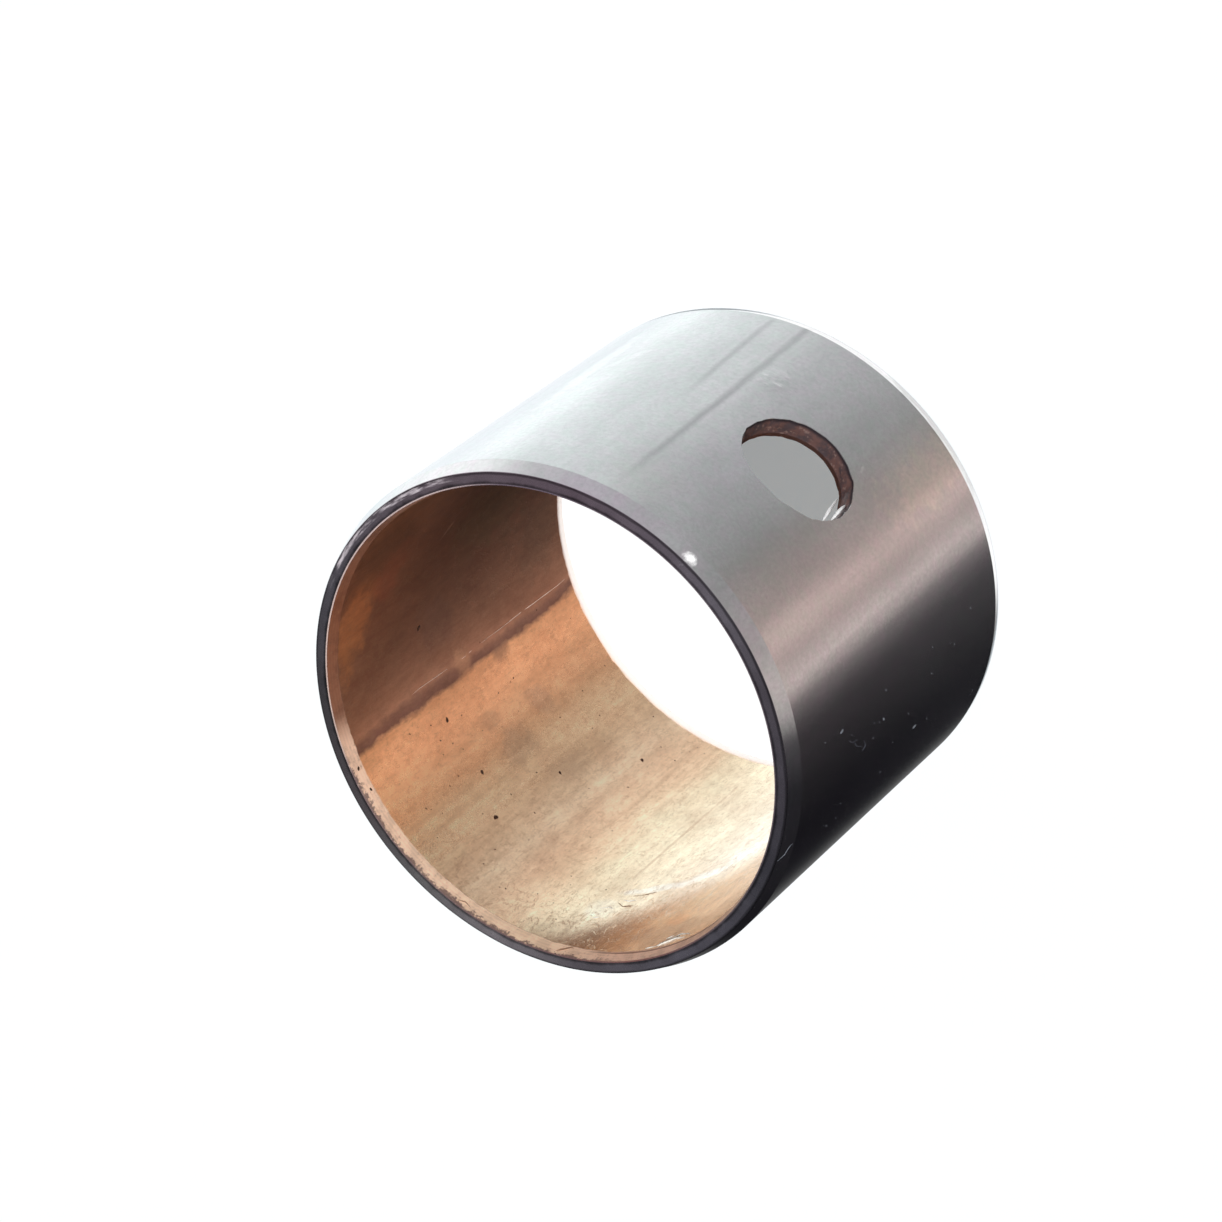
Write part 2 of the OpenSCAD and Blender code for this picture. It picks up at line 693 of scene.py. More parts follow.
@dataclass(frozen=True)
class PunchedEdge:
    """The cut that the punch left round the oil hole, before the strip was rolled."""

    drag: float = 0.10 * MM
    ragged: float = 0.13 * MM
    tears_per_metre: float = 900.0
    rings: int = 6

    def ring(self, share: float, steel: bool) -> float:
        """How far a ring of the cut wall stands in from the edge.

        Args:
            share: Depth in the wall, 0 at the outer edge and 1 at the inner one.
            steel: Whether the ring is in the steel, which the punch dragged.

        Returns:
            The distance in metres.
        """
        if not steel:
            return 0.0
        return self.drag * math.sin(math.pi * min(1.0, share * 1.2)) * (1.0 if share < 0.83 else 0.0)

    def tear(self, place: Vector) -> float:
        """Unevenness of the cut at a place, in metres."""
        place = place * self.tears_per_metre
        return self.ragged * (noise.noise(place) + 0.5 * noise.noise(place * 3.1))


@dataclass(frozen=True)
class Sleeve:
    """The bush's wall: the steel back with the bronze lining bonded to its inside."""

    sizes: BushSizes
    mesh: WallMesh
    edge: PunchedEdge

    def outline(self, layer: Layer) -> list[Point]:
        """Draws the section of one metal.

        Args:
            layer: Which metal.

        Returns:
            The closed outline, from the bond's lower end to the free wall, up it and back down the bond.
        """
        s, m = self.sizes, self.mesh
        bond = (s.bond_r, 0.0)
        if layer is Layer.STEEL:
            start = [bond, (s.bond_r + m.hold, 0.0)]
            face, wall = (s.end_face_r, 0.0), (s.outer_r, s.lead_in_len)
            radius, hold = s.edge_r, m.hold
        else:
            start = [bond]
            face, wall = (s.land_r, 0.0), (s.bore_r, s.bore_chamfer_len)
            radius, hold = m.thin_edge_r, m.thin_hold
        first = m.corner(bond, face, wall, radius, hold)
        second = m.corner(face, wall, (wall[0], s.hole_z), s.edge_r, m.hold)
        lower = [*start, *first, *second]
        upper = [(out, s.length - height) for out, height in reversed(lower)]
        free = [(wall[0], height) for height in m.rows(s, wall[1] + 2 * s.edge_r)]
        back = [(s.bond_r, height) for height in reversed(m.rows(s, s.lead_in_len, m.reach_steps))]
        return [*lower, *free, *upper, *back]

    def build(self, tree: SweepTree, layer: Layer, finish: bpy.types.Material, slot: str) -> None:
        """Makes one metal of the wall and lets it stand for its CAD node.

        Args:
            tree: The sweeping tree.
            layer: Which metal.
            finish: Its material.
            slot: Its material slot. Not used.
        """
        s, m = self.sizes, self.mesh
        outline = self.outline(layer)
        block, reach = m.block_steps * m.step(s), m.reach_steps * m.step(s)
        values = (m.segments, len(outline), s.outer_r, s.hole_r, s.hole_z, s.hole_turn, block, reach, finish)
        points = [(radius, 0.0, height) for radius, height in outline]
        piece = tree.run("bush_" + layer.value, points, [], values)
        self._close_hole(piece.data, layer is Layer.STEEL)
        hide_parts(layer.value)
        declare(piece)

    def _close_hole(self, mesh: bpy.types.Mesh, steel: bool) -> None:
        """Closes the wall of the oil hole between the two cut edges.

        Args:
            mesh: The metal's mesh, which it changes.
            steel: Whether the metal is the steel.
        """
        s = self.sizes
        outer, inner = (s.outer_r, s.bond_r) if steel else (s.bond_r, s.bore_r)
        shape = bmesh.new()
        shape.from_mesh(mesh)
        cut = shape.verts.layers.float.new("punched")
        rims: dict[bool, list[tuple[float, bmesh.types.BMVert]]] = {True: [], False: []}
        for vert in shape.verts:
            if vert.is_boundary:
                beside, over = self._from_hole(vert.co)
                rims[vert.co.xy.length > (outer + inner) / 2].append((math.atan2(over, beside), vert))
        far, near = ([vert for _, vert in sorted(rim, key=lambda item: item[0])] for rim in rims.values())
        for vert in far if steel else near:
            beside, over = self._from_hole(vert.co)
            size = 1.0 + self.edge.tear(Vector((beside, over, 0.0))) / math.hypot(beside, over)
            vert.co = self.at_hole(beside * size, over * size, vert.co.xy.length)
        rings = [far]
        for step in range(1, self.edge.rings):
            share = step / self.edge.rings
            radius = outer + (inner - outer) * share
            made = []
            for vert in far:
                beside, over = self._from_hole(vert.co)
                out = math.hypot(beside, over)
                torn = self.edge.tear(Vector((beside, over, share * MM)))
                size = (out - self.edge.ring(share, steel) + torn) / out
                made.append(shape.verts.new(self.at_hole(beside * size, over * size, radius)))
            rings.append(made)
        rings.append(near)
        for before, after in zip(rings, rings[1:]):
            for i in range(len(far)):
                j = (i + 1) % len(far)
                shape.faces.new((before[i], before[j], after[j], after[i])).smooth = True
        for ring in rings[1:] if steel else rings:
            for vert in ring:
                vert[cut] = 1.0
        bmesh.ops.recalc_face_normals(shape, faces=shape.faces)
        shape.to_mesh(mesh)
        shape.free()
        mesh.set_sharp_from_angle(angle=self.mesh.sharp_angle)

    def _from_hole(self, place: Vector) -> Point:
        """Measures from the hole's centre.

        Args:
            place: A place on the wall.

        Returns:
            How far it lies beside and over the centre, measured at the seat.
        """
        s = self.sizes
        turn = (math.atan2(place.y, place.x) - s.hole_turn + math.pi) % math.tau - math.pi
        return turn * s.outer_r, place.z - s.hole_z

    def at_hole(self, beside: float, over: float, radius: float) -> Vector:
        """Finds a place at the oil hole.

        Args:
            beside: How far it lies beside the hole's centre, measured at the seat.
            over: How far it lies over the centre.
            radius: How far it lies from the axis.

        Returns:
            The place.
        """
        s = self.sizes
        turn = s.hole_turn + beside / s.outer_r
        return Vector((radius * math.cos(turn), radius * math.sin(turn), s.hole_z + over))


@dataclass(frozen=True)
class WearMarks:
    """Pits, dust, scratches and burrs on the wall."""

    sizes: BushSizes
    pits: Line = (
        (-130.7, 17.7), (-154.7, 17.7), (-169.7, 18.0), (179.9, 14.7), (178.4, 27.8), (167.7, 38.9),
        (-151.0, 1.0), (-156.8, 1.25),
    )
    dust: Line = ((50.5, 11.0), (56.2, 20.6), (66.0, 29.2))
    scores: tuple[Line, ...] = (
        ((-144.3, 28.3), (-144.3, 47.7)),
        ((-144.3, 13.8), (-144.4, 21.2)),
        ((-144.6, 24.0), (-144.4, 26.4)),
    )
    cracks: tuple[Line, ...] = (
        ((143.6, 13.5), (142.4, 14.2), (140.2, 14.2), (138.2, 14.7), (135.3, 16.0)),
        ((144.4, 11.6), (142.0, 12.4), (139.8, 11.7), (137.6, 12.3)),
        ((144.0, 8.9), (142.2, 9.8), (140.4, 9.3)),
        ((170.6, 0.5), (169.0, 0.9), (166.9, 0.7)),
        ((143.6, 0.3), (142.6, 0.8), (141.4, 1.3), (140.6, 1.45), (140.0, 1.35)),
        ((143.0, 0.45), (142.0, 0.95), (141.0, 1.3)),
    )
    # Raised bits in the bore, coloured near white as painted glints
    glints: tuple[Line, ...] = (
        ((143.8, 7.8), (142.3, 8.6), (141.2, 8.2)),
        ((144.2, 10.3), (142.6, 11.1), (140.9, 10.7)),
        ((141.5, 13.2), (139.6, 13.0), (138.0, 13.6)),
        ((119.4, 2.3), (116.0, 3.1), (113.5, 4.2), (110.5, 3.5), (107.5, 2.6)),
        ((117.5, 3.7), (114.8, 4.9), (112.4, 4.7)),
        ((122.0, 2.0), (118.0, 2.3), (114.0, 3.2), (110.0, 2.5)),
    )
    fibres: tuple[Line, ...] = (
        ((53.8, 12.4), (54.9, 13.2), (55.0, 14.4)),
        ((55.2, 13.8), (56.8, 14.3), (58.2, 15.7)),
        ((57.0, 16.0), (58.7, 16.5), (59.8, 15.5)),
    )
    hair: Line = ((71.8, 0.2), (71.2, 0.6), (70.5, 1.0), (69.0, 1.3), (68.4, 1.5), (68.0, 2.1))
    # The ends of each sliver, by angle at the hole's edge in degrees and radius in millimetres
    slivers: tuple[Line, ...] = (((-40.0, 27.4), (29.0, 29.9)), ((-24.0, 29.0), (18.0, 29.95)))
    sliver_inset: float = 0.05 * MM
    grains: int = 60
    grain_turns: Point = (146.0, 216.0)
    crumbs: int = 22
    crumb_turns: Point = (46.0, 74.0)
    # Depth of the first scattered mark and how far they spread, as shares of the length
    spread: Point = (0.08, 0.86)

    def scatter(self, count: int, turns: Point, seed: int) -> Line:
        """Spreads marks evenly over a stretch of the wall.

        Args:
            count: How many marks.
            turns: The stretch's two sides, in degrees.
            seed: The fixed seed.

        Returns:
            The marks' turns and depths.
        """
        length = self.sizes.length / MM
        spots = []
        for step in range(count):
            across, along = ((noise.cell(Vector((step + 0.5, seed, row))) + 1.0) / 2 for row in (0.5, 7.5))
            depth = length * (self.spread[0] + self.spread[1] * along)
            spots.append((turns[0] + (turns[1] - turns[0]) * across, depth))
        return tuple(spots)

    def on_wall(self, lines: Any, face_r: float, chamfer: float, lean: float) -> list[list[Vector]]:
        """Finds places on one face of the wall, its upper chamfer included.

        Args:
            lines: The lines.
            face_r: The face's radius.
            chamfer: Length of its chamfer.
            lean: How far the chamfer leads outwards, as a share of its length.

        Returns:
            The points of each line.
        """
        found = []
        for line in lines:
            found.append([])
            for turn, depth in line:
                radius = face_r + max(0.0, chamfer - depth * MM) * lean
                around = FRONT - math.radians(turn)
                height = self.sizes.length - depth * MM
                found[-1].append(Vector((radius * math.cos(around), radius * math.sin(around), height)))
        return found

    def bore(self, lines: Any) -> list[list[Vector]]:
        """Lays lines on the bore.

        Args:
            lines: The lines.

        Returns:
            The points of each line.
        """
        s = self.sizes
        lean = (s.land_r - s.bore_r) / s.bore_chamfer_len
        return self.on_wall(lines, s.bore_r, s.bore_chamfer_len, lean)

    def seat(self, lines: Any) -> list[list[Vector]]:
        """Returns lines on the outside."""
        s = self.sizes
        return self.on_wall(lines, s.outer_r, s.lead_in_len, -math.tan(s.lead_in_angle))

    def punched(self, sleeve: Sleeve) -> list[list[Vector]]:
        """Finds the two slivers that the punch left at one side of the oil hole, coloured near white as
        painted glints.

        Args:
            sleeve: The wall.

        Returns:
            The ends of each sliver.
        """
        reach = self.sizes.hole_r - self.sliver_inset
        found = []
        for line in self.slivers:
            ends = [(math.radians(degrees), radius * MM) for degrees, radius in line]
            found.append([sleeve.at_hole(-reach * math.cos(a), reach * math.sin(a), r) for a, r in ends])
        return found

    def build(self, sleeve: Sleeve) -> None:
        """Makes every mark.

        Args:
            sleeve: The wall that they lie on.
        """
        pit, burr, crack, skin, dust, fibre, bright = (
            SpeckFinish(name, colour, metallic, roughness).material()
            for name, colour, metallic, roughness in (
                # Near-black flakes mark the pits and grains of the bore
                ("dark_pit_flake", (0.055, 0.022, 0.012), 0.0, 0.8),
                ("score_burr", (0.95, 0.74, 0.62), 0.35, 0.4),
                ("skin_crack", (0.34, 0.19, 0.12), 0.2, 0.6),
                # Near-white raised skin: its bright colour is a painted glint
                ("raised_skin_glint", (1.0, 0.96, 0.88), 0.1, 0.4),
                ("pale_dust", (0.18, 0.195, 0.225), 0.0, 0.9),
                ("dark_fibre", (0.065, 0.070, 0.088), 0.0, 0.9),
                # Near-white slivers: real burrs with a painted glint
                ("sliver_glint", (0.97, 0.97, 0.97), 0.15, 0.35),
            )
        )
        grains = self.scatter(self.grains, self.grain_turns, 3)
        crumbs = self.scatter(self.crumbs, self.crumb_turns, 5)
        bore, seat = self.bore, self.seat
        # A flake is a line of one point. The values are those of the tree's named inputs, in order
        for tree, name, lines, values in (
            (MarkTree, "bore_pits", bore(zip(self.pits)), (0.30 * MM, 0.12, 0.75, 4, pit)),
            (MarkTree, "bore_grains", bore(zip(grains)), (0.11 * MM, 0.12, 0.55, 9, pit)),
            (LineTree, "bore_score", bore(self.scores), (0.10 * MM, 60, 0.35 * MM, 1.15, burr)),
            (LineTree, "bore_cracks", bore(self.cracks), (0.075 * MM, 60, 0.7 * MM, 0.9, crack)),
            (LineTree, "bore_glints", bore(self.glints), (0.20 * MM, 60, 0.8 * MM, 1.1, skin)),
            (MarkTree, "dust", seat(zip(self.dust)), (0.12 * MM, 0.15, 2.6, 2, dust)),
            (MarkTree, "fine_dust", seat(zip(crumbs)), (0.055 * MM, 0.15, 1.8, 6, dust)),
            (LineTree, "fibres", seat(self.fibres), (0.05 * MM, 40, 0.6 * MM, 0.9, fibre)),
            (LineTree, "hair", seat((self.hair,)), (0.055 * MM, 40, 0.0, 0.8, dust)),
            (LineTree, "hole_slivers", self.punched(sleeve), (0.36 * MM, 30, 0.3 * MM, 0.8, bright)),
        ):
            points: list[Vector] = []
            edges: list[tuple[int, int]] = []
            for line in lines:
                first = len(points)
                points += line
                edges += [(first + step, first + step + 1) for step in range(len(line) - 1)]
            declare(tree().run("bush_" + name, points, edges, values))


class Finish:
    """A material that is built from nodes on the piece's own object coordinates."""

    name: str
    relief: float = 1.0

    def material(self) -> bpy.types.Material:
        """Makes the material.

        Returns:
            The new material.
        """
        made = bpy.data.materials.new(self.name)
        w = fresh(made)
        tone, bare, rough, height = self.look(w)
        bump = w.get("ShaderNodeBump", {"Strength": self.relief, "Distance": 1.0, "Height": height})
        skin = {"Base Color": tone, "Metallic": bare, "Roughness": rough, "Normal": bump}
        w.node("ShaderNodeOutputMaterial", {"Surface": w.get("ShaderNodeBsdfPrincipled", skin)})
        return made

    def look(self, w: Wiring) -> tuple[Value, Any, Value, Value]:
        """Returns colour, share of bare metal, roughness and relief. Each finish has its own."""
        raise NotImplementedError


@dataclass(frozen=True)
class SpeckFinish(Finish):
    """An uneven finish for dust, scale and bright burrs."""

    name: str
    colour: Colour
    metallic: float
    roughness: float
    relief: float = 0.8

    def look(self, w: Wiring) -> tuple[Value, Any, Value, Value]:
        """Works out the finish.

        Args:
            w: The material's wiring.

        Returns:
            Its colour, share of bare metal, roughness and relief.
        """
        grain = w.clouds(w.get("ShaderNodeTexCoord", output="Object"), 4200.0, 4.0, 0.7)
        tone = w.math("MULTIPLY", self.colour, grain * 0.7 + 0.62)
        return tone, self.metallic, grain * 0.2 + (self.roughness - 0.1), grain * 1.2e-5


@dataclass(frozen=True)
class DrawLine:
    """A faint dark line that the rolls left along the axis, from one depth in millimetres to another."""

    turn: float
    lean: float
    wide: float
    start: float
    end: float
    strength: float


@dataclass(frozen=True)
class SteelFinish(Finish):
    """Smooth rolled steel with faint lines along the axis and dull cut faces."""

    name: str = "rolled_steel"
    length: float = 50.0 * MM
    radius: float = 30.0 * MM
    ring_middle: float = 28.72 * MM
    colour: Colour = (0.61, 0.615, 0.62)
    dark: Colour = (0.30, 0.30, 0.31)
    roughness: float = 0.155
    lines: tuple[DrawLine, ...] = (
        DrawLine(-20.8, 62.0, 1.5, 2.0, 49.5, 0.50),
        DrawLine(-26.0, 125.0, 1.3, 22.0, 48.0, 0.40),
        DrawLine(-24.3, 62.0, 3.4, 8.0, 49.0, -0.06),
        DrawLine(8.0, 10.0, 2.0, 1.0, 49.0, 0.05),
        DrawLine(35.0, 20.0, 1.6, 2.0, 49.0, 0.08),
    )
    stains: tuple[Stain, ...] = (
        Stain(-57.5, 30.0, 1.6, 17.0, 0.05, (0.78, 0.78, 0.78), 0.6),
        Stain(-50.5, 33.0, 0.9, 5.0, -0.55, (0.74, 0.74, 0.74), 0.35),
        Stain(-69.0, 25.0, 2.6, 24.0, 0.0, (0.50, 0.48, 0.54), 0.5),
        # Painted reflection: a warm pale highlight band near the lower end
        Stain(17.5, 42.0, 4.5, 12.0, 0.0, (0.74, 0.715, 0.66), 0.8),
        Stain(-17.0, 6.0, 6.0, 6.0, 0.0, (0.56, 0.57, 0.55), 0.5),
        Stain(8.5, 32.7, 0.25, 1.0, 0.3, (0.78, 0.78, 0.78), 0.7),
        Stain(-6.0, 22.0, 5.0, 9.0, 0.0, (0.63, 0.61, 0.65), 0.5),
        Stain(12.0, 49.6, 9.0, 2.2, 0.0, (0.34, 0.34, 0.34), 0.85),
    )
    # A nick on the near lead-in chamfer: rougher and less metallic, and painted white as a painted glint
    nick_glint: Stain = Stain(0.9, 0.85, 1.15, 0.85, 0.2, (1.0, 1.0, 1.0), 1.0)
    # Tones of the turned end faces round the axis: painted reflection, paler or darker where the faces catch
    # more or less of the surroundings, with a painted highlight at 158 degrees
    ring: Bands = (
        (-180.0, 0.36, 0.36, 0.36), (-160.0, 0.23, 0.21, 0.22), (-135.0, 0.15, 0.145, 0.155),
        (-105.0, 0.21, 0.205, 0.235), (-60.0, 0.33, 0.27, 0.31), (-28.0, 0.33, 0.255, 0.31),
        (12.0, 0.36, 0.34, 0.39), (32.0, 0.22, 0.20, 0.235), (75.0, 0.13, 0.13, 0.155),
        (110.0, 0.25, 0.245, 0.29), (136.0, 0.26, 0.245, 0.275), (158.0, 0.54, 0.51, 0.54),
        (179.9, 0.36, 0.36, 0.36),
    )

    def look(self, w: Wiring) -> tuple[Value, Any, Value, Value]:
        """Works out the finish.

        Args:
            w: The material's wiring.

        Returns:
            Its colour, share of bare metal, roughness and relief.
        """
        w = WallWiring(w.tree, self.length, self.radius)
        streaks = w.grain(900.0, 4.0, 0.6, 0.02)
        grain = w.grain(1900.0, 5.0, 0.75)
        patches = w.grain(140.0, 4.0, 0.6, 0.5)
        punched = w.ease(w.punched, 0.0, 0.3)
        ends = w.ease(w.end, 0.17 * MM, 0.11 * MM)
        ring_glint_share = self._painted_ring_glints(w)
        tone = w.mix(ends, self._seat(w, streaks, grain, patches), self._ring_with_painted_reflection(w))
        # Painted glints: the ring's pale streaks at its upper left
        tone = w.mix(ring_glint_share, tone, (0.66, 0.60, 0.64))
        nick_glint_share = w.stain(self.nick_glint, w.uneven(900.0, 4.0, 0.7) * 1.4)
        # The nick's white is a painted glint
        tone = w.mix(punched, w.mix(nick_glint_share, tone, self.nick_glint.tone), self._cut(w))
        filmed = w.most(punched * 0.55, w.most(nick_glint_share, ring_glint_share) * 0.85)
        bare = w.ease(w.depth, 6.0 * MM, 50.0 * MM) * -0.018 + 0.999 - filmed
        rough = streaks * 0.07 + (self.roughness - 0.035) - 0.04 + grain * 0.08
        rough = rough + w.most(ends, nick_glint_share) * 0.12 + punched * 0.34
        relief = streaks * 1.2e-6 + grain * 3.4e-6 + patches * 1.4e-5 + self._ripples(w)
        return tone, bare, rough, relief

    def _seat(self, w: WallWiring, streaks: Value, grain: Value, patches: Value) -> Value:
        """Colours the outside.

        Args:
            w: The material's wiring.
            streaks: Unevenness along the axis.
            grain: Fine unevenness.
            patches: Broad unevenness.

        Returns:
            The colour.
        """
        tone = w.mix(w.ease(patches, 0.3, 0.7), self._shade(0.93), self._shade(1.06))
        tone = w.stained(tone, self.stains)
        tone = w.mix(w.ease(grain, 0.30, 0.72) * 0.36, tone, self._shade(0.62))
        tone = w.mix(w.ease(streaks, 0.40, 0.75) * 0.10, tone, self._shade(0.70))
        hue = w.ease(w.grain(600.0, 4.0, 0.7), 0.3, 0.7)
        tone = tone * w.mix(hue, (1.03, 0.985, 1.02), (0.965, 1.01, 0.985))
        return w.mix(self._lines(w, streaks), tone, self.dark)

    def _shade(self, share: float) -> Colour:
        """Returns the steel's colour, darker or paler."""
        return tuple(part * share for part in self.colour)

    def _ring_with_painted_reflection(self, w: WallWiring) -> Value:
        """Colours the end faces with painted reflection: the bands round the axis, and a pale line between
        two darker edges that stand for the rounded edges mirroring dark surroundings, with turning marks.

        Args:
            w: The material's wiring.

        Returns:
            The colour.
        """
        uneven = w.uneven(380.0, 4.0, 0.65, 0.0)
        off = w.radius - self.ring_middle + uneven * (0.5 * MM)
        marks = w.math("SINE", w.radius * (math.tau / (0.17 * MM)))
        # Painted reflection: the face is darkened towards both its edges
        edge = w.most(w.ease(off, 0.22 * MM, 0.46 * MM), w.ease(off, -0.30 * MM, -0.62 * MM))
        level = edge * -0.74 + 1.22 + marks * 0.07 + uneven * 0.9
        return w.bands(w.turn, self.ring) * level

    def _painted_ring_glints(self, w: WallWiring) -> Value:
        """Finds the painted glints on the turned ring: pale streaks at the left of its upper end.

        Args:
            w: The material's wiring.

        Returns:
            How strong the glints are, 0 to 1.
        """
        streaks = w.clouds(w.join(w.radius, w.turn * (24.0 * MM), 0.0), 2300.0, 3.0, 0.6)
        where = w.wave(w.radius - self.ring_middle, -0.05 * MM, 0.40 * MM, 0.1 * MM)
        where = where * w.wave(w.degrees, -96.0, -64.0, 10.0) * w.ease(w.depth, 0.06 * MM, 0.02 * MM)
        return where * w.ease(streaks, 0.40, 0.66)

    def _cut(self, w: WallWiring) -> Value:
        """Colours the oil hole's punched wall: purple-brown with rust, darkest at the outer edge.

        Args:
            w: The material's wiring.

        Returns:
            The colour.
        """
        cut = w.mix(w.ease(w.grain(800.0, 4.0, 0.7), 0.38, 0.62), (0.10, 0.072, 0.078), (0.19, 0.105, 0.095))
        cut = w.mix(w.ease(w.grain(1900.0, 2.0, 0.5), 0.58, 0.72), cut, (0.30, 0.20, 0.18))
        outer = w.ease(w.radius, self.radius - 0.6 * MM, self.radius - 0.15 * MM)
        return w.mix(outer, cut, (0.035, 0.026, 0.032))

    def _lines(self, w: WallWiring, streaks: Value) -> Value:
        """Finds how strongly the draw lines darken a place.

        Args:
            w: The material's wiring.
            streaks: Unevenness along the axis.

        Returns:
            The strength.
        """
        degrees = w.uneven(190.0, 4.0, 0.6) * 1.2 + w.degrees
        whole: Any = 0.0
        for line in self.lines:
            start, end = line.start * MM, line.end * MM
            off = w.math("ABSOLUTE", degrees - (w.depth * -line.lean + line.turn))
            above = w.ease(w.depth, end + 1.0 * MM, end - 2.0 * MM)
            along = w.ease(w.depth, start, start + 12.0 * MM) * above
            whole = w.ease(off, line.wide, 0.0) * along * line.strength + whole
        return whole * (streaks * 1.4 + 0.4)

    def _ripples(self, w: WallWiring) -> Value:
        """Finds the small ripples over the oil hole.

        Args:
            w: The material's wiring.

        Returns:
            Their height, 0 elsewhere.
        """
        patch = Stain(-18.6, 35.0, 2.3, 3.0, 0.0, self.dark, 6.5e-5)
        folds = w.clouds(w.place * (0.8, 0.8, 2.4), 620.0, 2.0, 0.5)
        return w.stain(patch, w.uneven(300.0)) * folds


@dataclass(frozen=True)
class BronzeFinish(Finish):
    """Satin bronze, partly tarnished, in bands along the axis: brown, orange, tan, pink and cream, with
    painted reflection and a painted highlight among them.
    """

    name: str = "satin_bronze"
    length: float = 50.0 * MM
    radius: float = 27.5 * MM
    chamfer_len: float = 1.64 * MM
    roughness: float = 0.17
    speck: Colour = (0.34, 0.19, 0.11)
    # Tones of the bore round the axis, partly tarnished bronze and partly painted light: the dark brown from
    # -142 to -80 degrees is painted reflection of dark surroundings, and the cream from 105 to 151.5 degrees
    # is a painted highlight
    tarnish_and_painted_reflection: Bands = (
        (-180.0, 1.0, 0.70, 0.47), (-171.0, 1.0, 0.675, 0.435), (-166.0, 1.0, 0.61, 0.37),
        (-156.0, 1.0, 0.58, 0.335), (-149.0, 0.88, 0.49, 0.27), (-147.9, 0.24, 0.125, 0.095),
        (-146.4, 0.27, 0.14, 0.105), (-145.2, 0.48, 0.25, 0.165), (-142.0, 0.38, 0.19, 0.12),
        (-125.0, 0.325, 0.15, 0.092), (-105.0, 0.24, 0.104, 0.063), (-80.0, 0.34, 0.18, 0.12),
        (-40.0, 0.78, 0.55, 0.38), (60.0, 0.80, 0.60, 0.42), (105.0, 0.86, 0.69, 0.60),
        (112.0, 0.94, 0.78, 0.68), (119.0, 0.99, 0.90, 0.78), (126.0, 0.88, 0.77, 0.66),
        (134.0, 0.92, 0.80, 0.65), (151.5, 1.0, 0.86, 0.65), (156.0, 1.0, 0.76, 0.55),
        (163.0, 1.0, 0.71, 0.50), (170.0, 1.0, 0.75, 0.54), (179.9, 1.0, 0.70, 0.47),
    )
    stains: tuple[Stain, ...] = (
        Stain(-116.5, 4.8, 8.5, 4.4, 0.42, (0.72, 0.31, 0.13), 0.60),
        Stain(-100.0, 9.0, 6.5, 8.0, 0.0, (0.15, 0.062, 0.036), 0.75),
        Stain(-110.0, 11.0, 5.0, 4.0, 0.5, (0.40, 0.13, 0.075), 0.45),
        Stain(-111.0, 33.0, 7.0, 11.0, 0.0, (0.25, 0.155, 0.085), 0.55),
        Stain(-128.0, 44.0, 7.0, 7.0, 0.0, (0.22, 0.12, 0.075), 0.50),
        Stain(-132.0, 21.0, 4.0, 5.0, 0.4, (0.26, 0.135, 0.10), 0.40),
        Stain(-148.8, 31.3, 1.4, 2.2, 0.0, (0.30, 0.17, 0.12), 0.60),
        Stain(-164.8, 33.4, 2.2, 3.2, 0.5, (0.62, 0.43, 0.31), 0.40),
        Stain(-170.5, 25.5, 3.0, 4.6, -0.3, (0.60, 0.42, 0.30), 0.45),
        Stain(-161.0, 24.0, 1.6, 2.4, 0.3, (0.62, 0.40, 0.26), 0.40),
        Stain(178.0, 30.0, 2.4, 5.0, 0.0, (0.72, 0.52, 0.38), 0.35),
        # A broad pale curved streak: painted highlight
        Stain(121.5, 26.5, 1.7, 8.0, 0.30, (1.0, 0.93, 0.83), 0.60),
        Stain(122.6, 25.7, 1.3, 6.0, 0.284, (1.0, 1.0, 1.0), 0.65),
        Stain(128.4, 20.0, 1.3, 4.6, 0.68, (1.0, 1.0, 1.0), 0.70),
        Stain(136.4, 16.5, 1.0, 4.8, 0.92, (1.0, 1.0, 0.98), 0.65),
        Stain(144.1, 29.0, 0.28, 16.0, 0.0, (0.62, 0.45, 0.33), 0.55),
        Stain(-109.0, 22.8, 0.3, 2.0, -0.56, (0.50, 0.30, 0.21), 0.60),
        Stain(-145.4, 24.2, 2.6, 2.0, 0.5, (0.60, 0.34, 0.21), 0.62),
        # Darker near the upper end at 118 degrees: painted shade where the bore mirrors itself
        Stain(118.0, 5.0, 8.5, 5.2, 0.0, (0.60, 0.50, 0.44), 0.65),
        Stain(121.0, 9.5, 2.6, 2.2, 0.5, (0.95, 0.62, 0.40), 0.45),
        # A pale patch among the cracks: painted glints
        Stain(143.0, 10.0, 2.4, 3.2, 0.3, (1.0, 0.95, 0.82), 0.65),
    )
    dullness: Bands = (
        (-180.0, 0.10, 0.10, 0.10), (-150.0, 0.12, 0.12, 0.12), (-144.0, 0.20, 0.20, 0.20),
        (-100.0, 0.23, 0.23, 0.23), (-60.0, 0.11, 0.11, 0.11), (110.0, 0.04, 0.04, 0.04),
        (140.0, 0.0, 0.0, 0.0), (179.9, 0.06, 0.06, 0.06),
    )
    # Tones of the bore chamfers round the axis: partly painted reflection, dark brown where they mirror dark
    # surroundings at -137 to -84 degrees
    chamfer: Bands = (
        (-180.0, 1.0, 0.72, 0.53), (-146.0, 0.90, 0.60, 0.44), (-137.0, 0.27, 0.115, 0.068),
        (-108.0, 0.27, 0.095, 0.048), (-84.0, 0.27, 0.115, 0.075), (-60.0, 0.70, 0.42, 0.32),
        (100.0, 0.90, 0.62, 0.50), (128.0, 0.90, 0.60, 0.46), (150.0, 1.0, 0.74, 0.53),
        (179.9, 1.0, 0.72, 0.53),
    )
